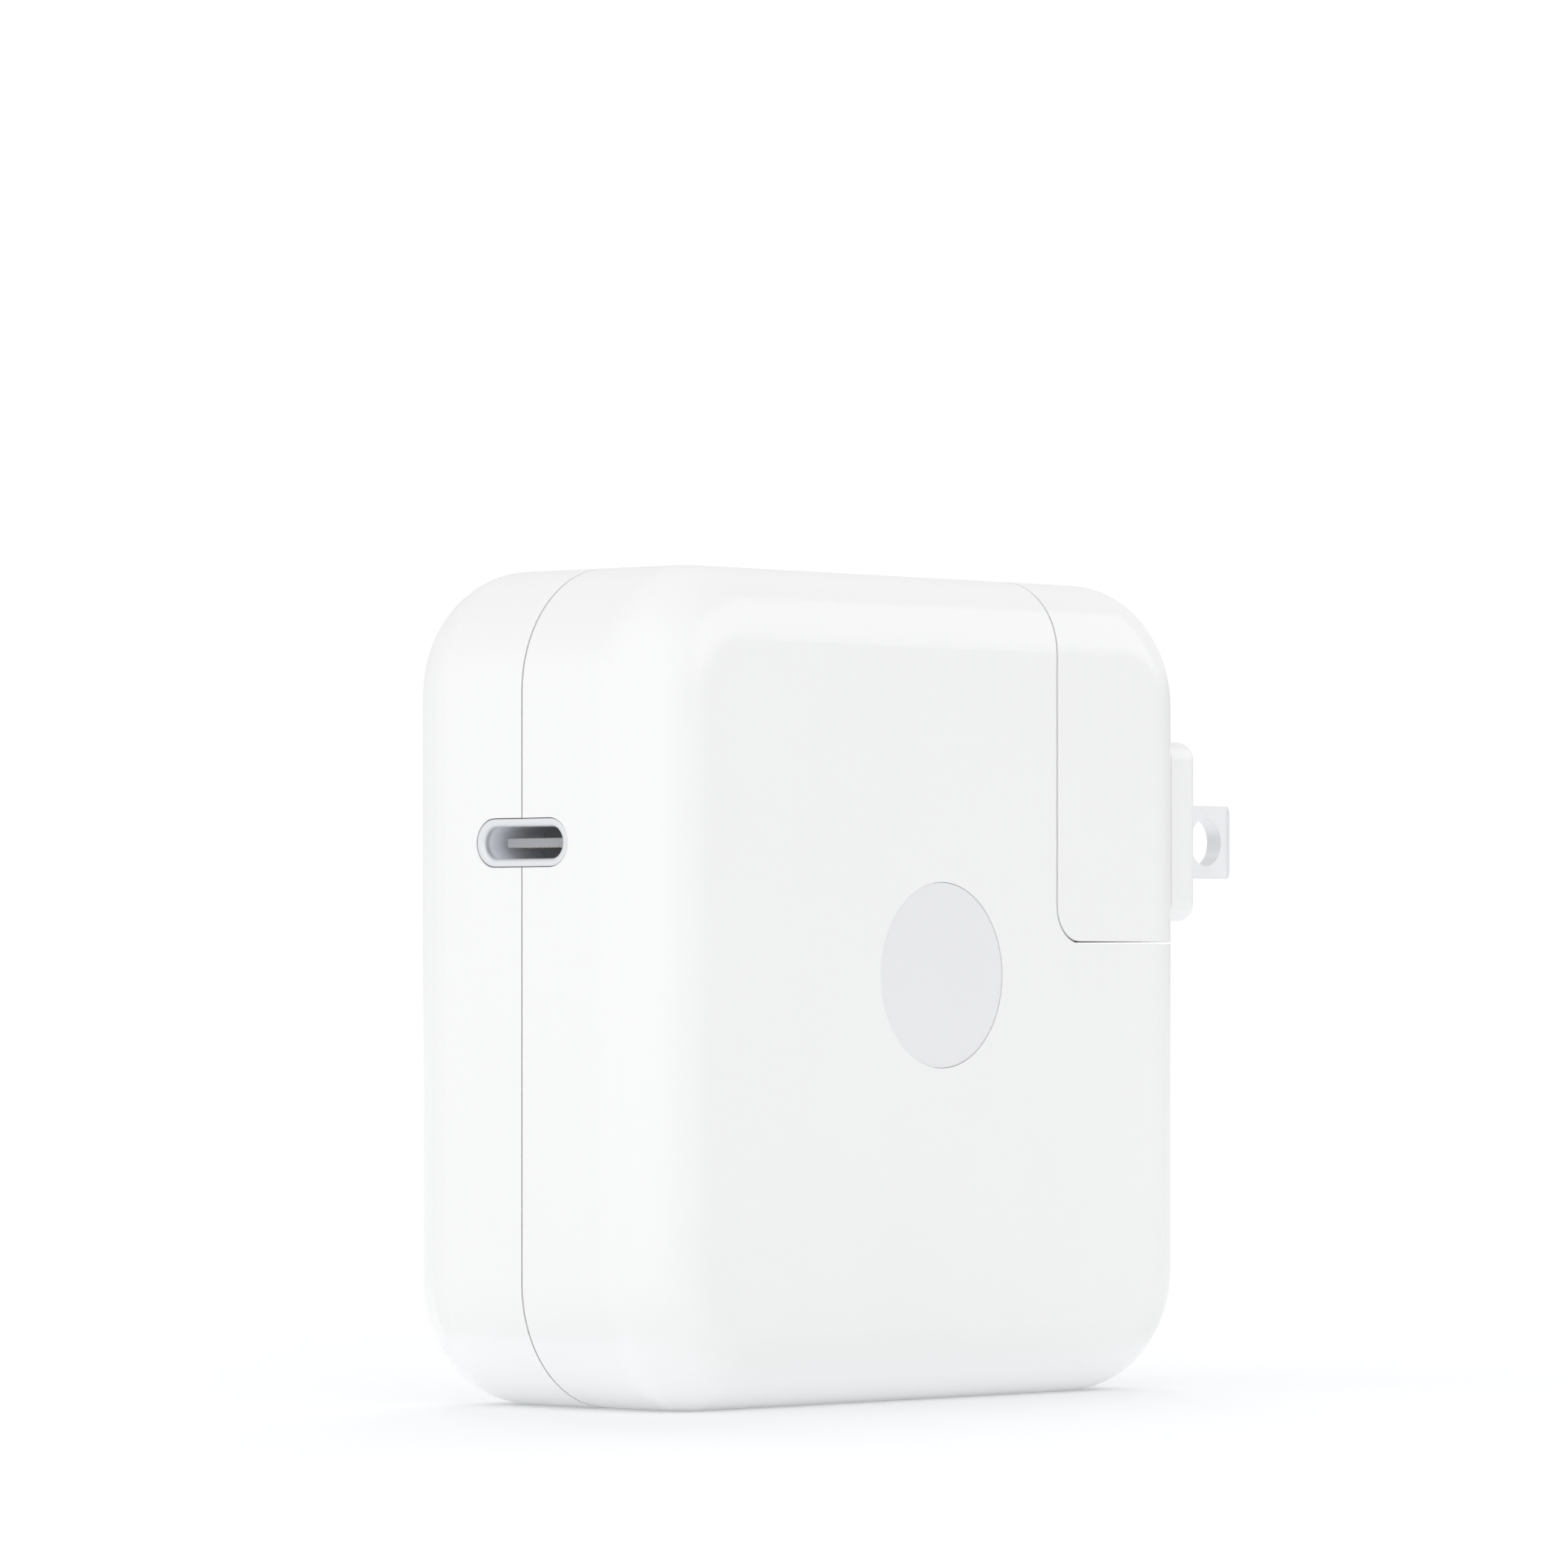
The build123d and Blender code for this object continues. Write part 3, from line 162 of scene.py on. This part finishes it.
def dipped_coat(name, light, dark, gloss):
    """Glossy epoxy or shrink sleeve with a soft orange-peel surface."""
    recipe = Recipe(name)
    recipe.colour(recipe.ramp(recipe.noise(2.0), [(0.3, dark), (0.7, light)]))
    recipe.roughness(recipe.span(recipe.noise(0.8), gloss, gloss + 0.1))
    recipe.bump(recipe.noise(0.7, detail=1), 0.01)
    return recipe.material


def grainy_solid(name, light, dark, gloss, grain_mm, depth):
    """Ferrite, chip epoxy, pads: a speckled matt body."""
    recipe = Recipe(name)
    speckle = recipe.noise(grain_mm, detail=5, roughness=0.7)
    recipe.colour(recipe.ramp(speckle, [(0.35, dark), (0.65, light)]))
    recipe.roughness(recipe.span(speckle, gloss - 0.05, gloss + 0.1))
    recipe.bump(speckle, depth)
    return recipe.material


BOARD_BLOCK = 3.2          # millimetres


def circuit_board(name):
    """Green solder mask laid out in small blocks, with brighter lines between them."""
    recipe = Recipe(name)
    brick = recipe.tree.nodes.new("ShaderNodeTexBrick")
    brick.inputs["Scale"].default_value = 1 / (BOARD_BLOCK * MM)
    brick.inputs["Mortar Size"].default_value = 0.06
    brick.inputs["Color1"].default_value = (0.012, 0.105, 0.045, 1)
    brick.inputs["Color2"].default_value = (0.016, 0.125, 0.055, 1)
    brick.inputs["Mortar"].default_value = (0.03, 0.20, 0.09, 1)
    recipe.link(recipe.place, brick.inputs["Vector"])
    recipe.colour(brick.outputs["Color"])
    recipe.roughness(recipe.span(recipe.noise(0.6), 0.28, 0.42))
    recipe.bump(brick.outputs["Fac"], 0.02)
    return recipe.material


SLOT_MATERIALS = {
    "white_shell": moulded_plastic("white_shell", shade(0.815), shade(0.807), 0.17, grain_depth=0.0006),
    "white_plastic": moulded_plastic("white_plastic", shade(0.82), shade(0.79), 0.45, grain_depth=0.004),
    "grey_inlay": moulded_plastic(
        "grey_inlay", (0.755, 0.755, 0.77), (0.745, 0.745, 0.76), 0.12, grain_depth=0.0005),
    "bright_steel": plated_metal(
        "bright_steel", (0.70, 0.715, 0.735), (0.69, 0.705, 0.725), 0.30, metallic=0.5),
    "grey_plastic": moulded_plastic("grey_plastic", (0.42, 0.43, 0.45), (0.38, 0.385, 0.40), 0.45),
    "gold_contact": plated_metal("gold_contact", (0.90, 0.76, 0.50), (0.85, 0.70, 0.43), 0.25),
    "board_green": circuit_board("board_green"),
    "nickel": plated_metal(
        "nickel", (0.84, 0.85, 0.865), (0.83, 0.84, 0.855), 0.32, streak=(0.15, 1, 1), metallic=0.75),
    "fuse_brown": dipped_coat("fuse_brown", (0.09, 0.03, 0.015), (0.06, 0.02, 0.01), 0.25),
    "varistor_blue": dipped_coat("varistor_blue", (0.02, 0.08, 0.32), (0.015, 0.06, 0.25), 0.18),
    "film_yellow": dipped_coat("film_yellow", (0.72, 0.42, 0.03), (0.66, 0.37, 0.025), 0.3),
    "ferrite": grainy_solid("ferrite", shade(0.035), shade(0.015), 0.6, 0.3, 0.01),
    "copper": plated_metal("copper", (0.72, 0.28, 0.12), (0.60, 0.20, 0.08), 0.28),
    "chip_black": grainy_solid("chip_black", shade(0.022), shade(0.012), 0.5, 0.12, 0.004),
    "can_sleeve": dipped_coat("can_sleeve", (0.015, 0.018, 0.03), (0.01, 0.012, 0.022), 0.25),
    "bobbin_plastic": moulded_plastic("bobbin_plastic", shade(0.03), shade(0.022), 0.4),
    "tape_yellow": dipped_coat("tape_yellow", (0.78, 0.58, 0.05), (0.72, 0.52, 0.04), 0.22),
    "opto_white": grainy_solid("opto_white", shade(0.74), shade(0.68), 0.5, 0.2, 0.004),
    "can_aluminium": plated_metal(
        "can_aluminium", (0.84, 0.845, 0.85), (0.78, 0.785, 0.79), 0.3, streak=(1, 0.1, 1)),
    "spreader": plated_metal(
        "spreader", (0.80, 0.805, 0.81), (0.74, 0.745, 0.75), 0.3, streak=(1, 1, 0.05)),
    "film_amber": dipped_coat("film_amber", (0.60, 0.26, 0.03), (0.54, 0.22, 0.025), 0.2),
    "gap_pad": grainy_solid("gap_pad", (0.36, 0.40, 0.50), (0.32, 0.36, 0.46), 0.7, 0.4, 0.02),
    "brass": plated_metal("brass", (0.80, 0.58, 0.28), (0.72, 0.50, 0.22), 0.25, streak=(1, 1, 0.1)),
    "bronze_spring": plated_metal("bronze_spring", (0.74, 0.45, 0.22), (0.64, 0.36, 0.17), 0.3),
    "spring_steel": plated_metal(
        "spring_steel", (0.58, 0.58, 0.60), (0.50, 0.50, 0.52), 0.28, streak=(1, 1, 0.1)),
}

for entry in frame["record"]["subparts"]:
    for slot in NODES[entry["node"]].material_slots:
        slot.material = SLOT_MATERIALS[entry["material_slot"]]

# the socket's drawn sheet is duller than its ring
for slot in NODES["usb_shell"].material_slots:
    slot.material = plated_metal("drawn_sheet", (0.88, 0.90, 0.95), (0.85, 0.87, 0.92), 0.55, metallic=0.3)


# ------------------------------------------------------------------ stage
FLOOR_HALF = 20.0
FLOOR_GLOW = 0.13
FLOOR_GLOW_COLOUR = (0.97, 0.985, 1.0, 1)
FLOOR_COLOUR = (0.82, 0.825, 0.83)
FLOOR_DRIFT = 0.01         # how far the floor's colour drifts down
FLOOR_CLOUD = 60           # size of that drift, millimetres

BACKDROP_WHITE = 1.05      # the backdrop as the camera sees it
HORIZON_LIGHT = 0.925
ZENITH_LIGHT = 0.855
ZENITH_FADE = (0.2, 1.0)
LEFT_SIDE = (-0.97, -0.1, 0.2)
LEFT_EXTRA = 0.32
LEFT_FADE = (0.2, 0.8)
REAR_SIDE = (0.0, 1.0, 0.1)
REAR_SHADE = 0.12
REAR_FADE = (0.2, 0.9)
FRONT_RIGHT = (0.78, -0.62, 0.0)
FRONT_RIGHT_FADE = (0.25, 0.6)
CARD_SHADE = 0.32          # grey card, low on the front right
CARD_TOP = (0.06, 0.16)
PANEL_EXTRA = 0.09         # tall light panel above the card
PANEL_TOP = (0.45, 0.75)

STRIP_PLACE = (2.2, -2.0, 1.45)
STRIP_SIZE = (3.4, 2.0)
STRIP_RADIANCE = 0.6

SUNS = (                   # name, direction it shines along, strength, spread in degrees, colour
    ("back_sun", (-0.62, -0.55, -1.0), 0.5, 40, (1, 1, 1)),
    ("key_sun", (0.50, 0.86, -0.15), 0.30, 25, (1, 1, 1)),
    ("table_light", (0.12, 0.2, 0.96), 0.58, 60, (0.93, 0.97, 1.0)),
)


def add_floor():
    """A wide pale light table: part of its white is its own glow, so shadows on it stay soft and pale."""
    mesh = bpy.data.meshes.new("floor")
    corners = [(x * FLOOR_HALF, y * FLOOR_HALF, 0) for x, y in ((-1, -1), (1, -1), (1, 1), (-1, 1))]
    mesh.from_pydata(corners, [], [(0, 1, 2, 3)])
    floor = bpy.data.objects.new("floor", mesh)
    SCENE.collection.objects.link(floor)
    recipe = Recipe("pale_floor")
    darker = tuple(part - FLOOR_DRIFT for part in FLOOR_COLOUR)
    recipe.colour(recipe.ramp(recipe.noise(FLOOR_CLOUD), [(0.3, darker), (0.7, FLOOR_COLOUR)]))
    recipe.set(Roughness=0.9, Specular_IOR_Level=0.0)
    recipe.set(Emission_Color=FLOOR_GLOW_COLOUR, Emission_Strength=FLOOR_GLOW)
    mesh.materials.append(recipe.material)
    floor.visible_shadow = False       # lets the table light through from below


class Surround:
    """Builds the world's brightness from the direction looked in."""

    def __init__(self):
        world = bpy.data.worlds.new("studio")
        world.use_nodes = True
        SCENE.world = world
        self.tree = world.node_tree
        self.background = self.tree.nodes["Background"]
        self.direction = self.tree.nodes.new("ShaderNodeTexCoord").outputs["Generated"]
        split = self.tree.nodes.new("ShaderNodeSeparateXYZ")
        self.tree.links.new(self.direction, split.inputs["Vector"])
        self.height = split.outputs["Z"]

    def toward(self, side):
        """1 looking towards side, -1 looking away from it, when side has unit length."""
        node = self.tree.nodes.new("ShaderNodeVectorMath")
        node.operation = "DOT_PRODUCT"
        node.inputs[1].default_value = side
        self.tree.links.new(self.direction, node.inputs[0])
        return node.outputs["Value"]

    def fade(self, value, ends, low, high):
        """low where value is below ends, high where it is above them, and a soft step between."""
        node = self.tree.nodes.new("ShaderNodeMapRange")
        node.interpolation_type = "SMOOTHSTEP"
        for name, number in (("From Min", ends[0]), ("From Max", ends[1]), ("To Min", low), ("To Max", high)):
            node.inputs[name].default_value = number
        self.tree.links.new(value, node.inputs["Value"])
        return node.outputs["Result"]

    def combine(self, operation, first, second):
        node = self.tree.nodes.new("ShaderNodeMath")
        node.operation = operation
        self.tree.links.new(first, node.inputs[0])
        self.tree.links.new(second, node.inputs[1])
        return node.outputs["Value"]

    def finish(self, strength):
        """Lights the scene with strength, and shows an even white where the world itself is seen."""
        path = self.tree.nodes.new("ShaderNodeLightPath")
        mix = self.tree.nodes.new("ShaderNodeMix")
        mix.inputs["B"].default_value = BACKDROP_WHITE
        self.tree.links.new(path.outputs["Is Camera Ray"], mix.inputs["Factor"])
        self.tree.links.new(strength, mix.inputs["A"])
        self.background.inputs["Color"].default_value = (1, 1, 1, 1)
        self.tree.links.new(mix.outputs["Result"], self.background.inputs["Strength"])


def add_world():
    """A white surround: brighter on the left, dimmer at the rear, a card and a panel on the front right."""
    sky = Surround()
    general = sky.fade(sky.height, ZENITH_FADE, HORIZON_LIGHT, ZENITH_LIGHT)
    left = sky.fade(sky.toward(LEFT_SIDE), LEFT_FADE, 0, LEFT_EXTRA)
    rear = sky.fade(sky.toward(REAR_SIDE), REAR_FADE, 0, -REAR_SHADE)
    sector = sky.fade(sky.toward(FRONT_RIGHT), FRONT_RIGHT_FADE, 0, 1)
    card_and_panel = sky.fade(sky.height, CARD_TOP, -CARD_SHADE, PANEL_EXTRA)
    below_zenith = sky.fade(sky.height, PANEL_TOP, 1, 0)
    front = sky.combine("MULTIPLY", sky.combine("MULTIPLY", sector, card_and_panel), below_zenith)
    sides = sky.combine("ADD", left, rear)
    sky.finish(sky.combine("ADD", sky.combine("ADD", general, sides), front))


def add_sun(name, direction, strength, spread, colour):
    """A very soft distant light that shines along direction."""
    data = bpy.data.lights.new(name, "SUN")
    data.color = colour
    data.energy = strength
    data.angle = math.radians(spread)
    lamp = bpy.data.objects.new(name, data)
    lamp.visible_glossy = False
    lamp.rotation_euler = Vector(direction).to_track_quat("-Z", "Y").to_euler()
    SCENE.collection.objects.link(lamp)


def add_strip_light():
    """A softbox high on the front right, seen only in reflections: it draws the band along the upper rims."""
    data = bpy.data.lights.new("strip_light", "AREA")
    data.shape = "RECTANGLE"
    data.size, data.size_y = STRIP_SIZE
    data.energy = STRIP_RADIANCE * math.pi * data.size * data.size_y
    lamp = bpy.data.objects.new("strip_light", data)
    lamp.location = STRIP_PLACE
    lamp.rotation_euler = (-Vector(STRIP_PLACE)).to_track_quat("-Z", "Y").to_euler()
    lamp.visible_camera = False
    lamp.visible_diffuse = False
    SCENE.collection.objects.link(lamp)


add_floor()
add_world()
add_strip_light()
for sun in SUNS:
    add_sun(*sun)
SCENE.view_settings.view_transform = "Standard"
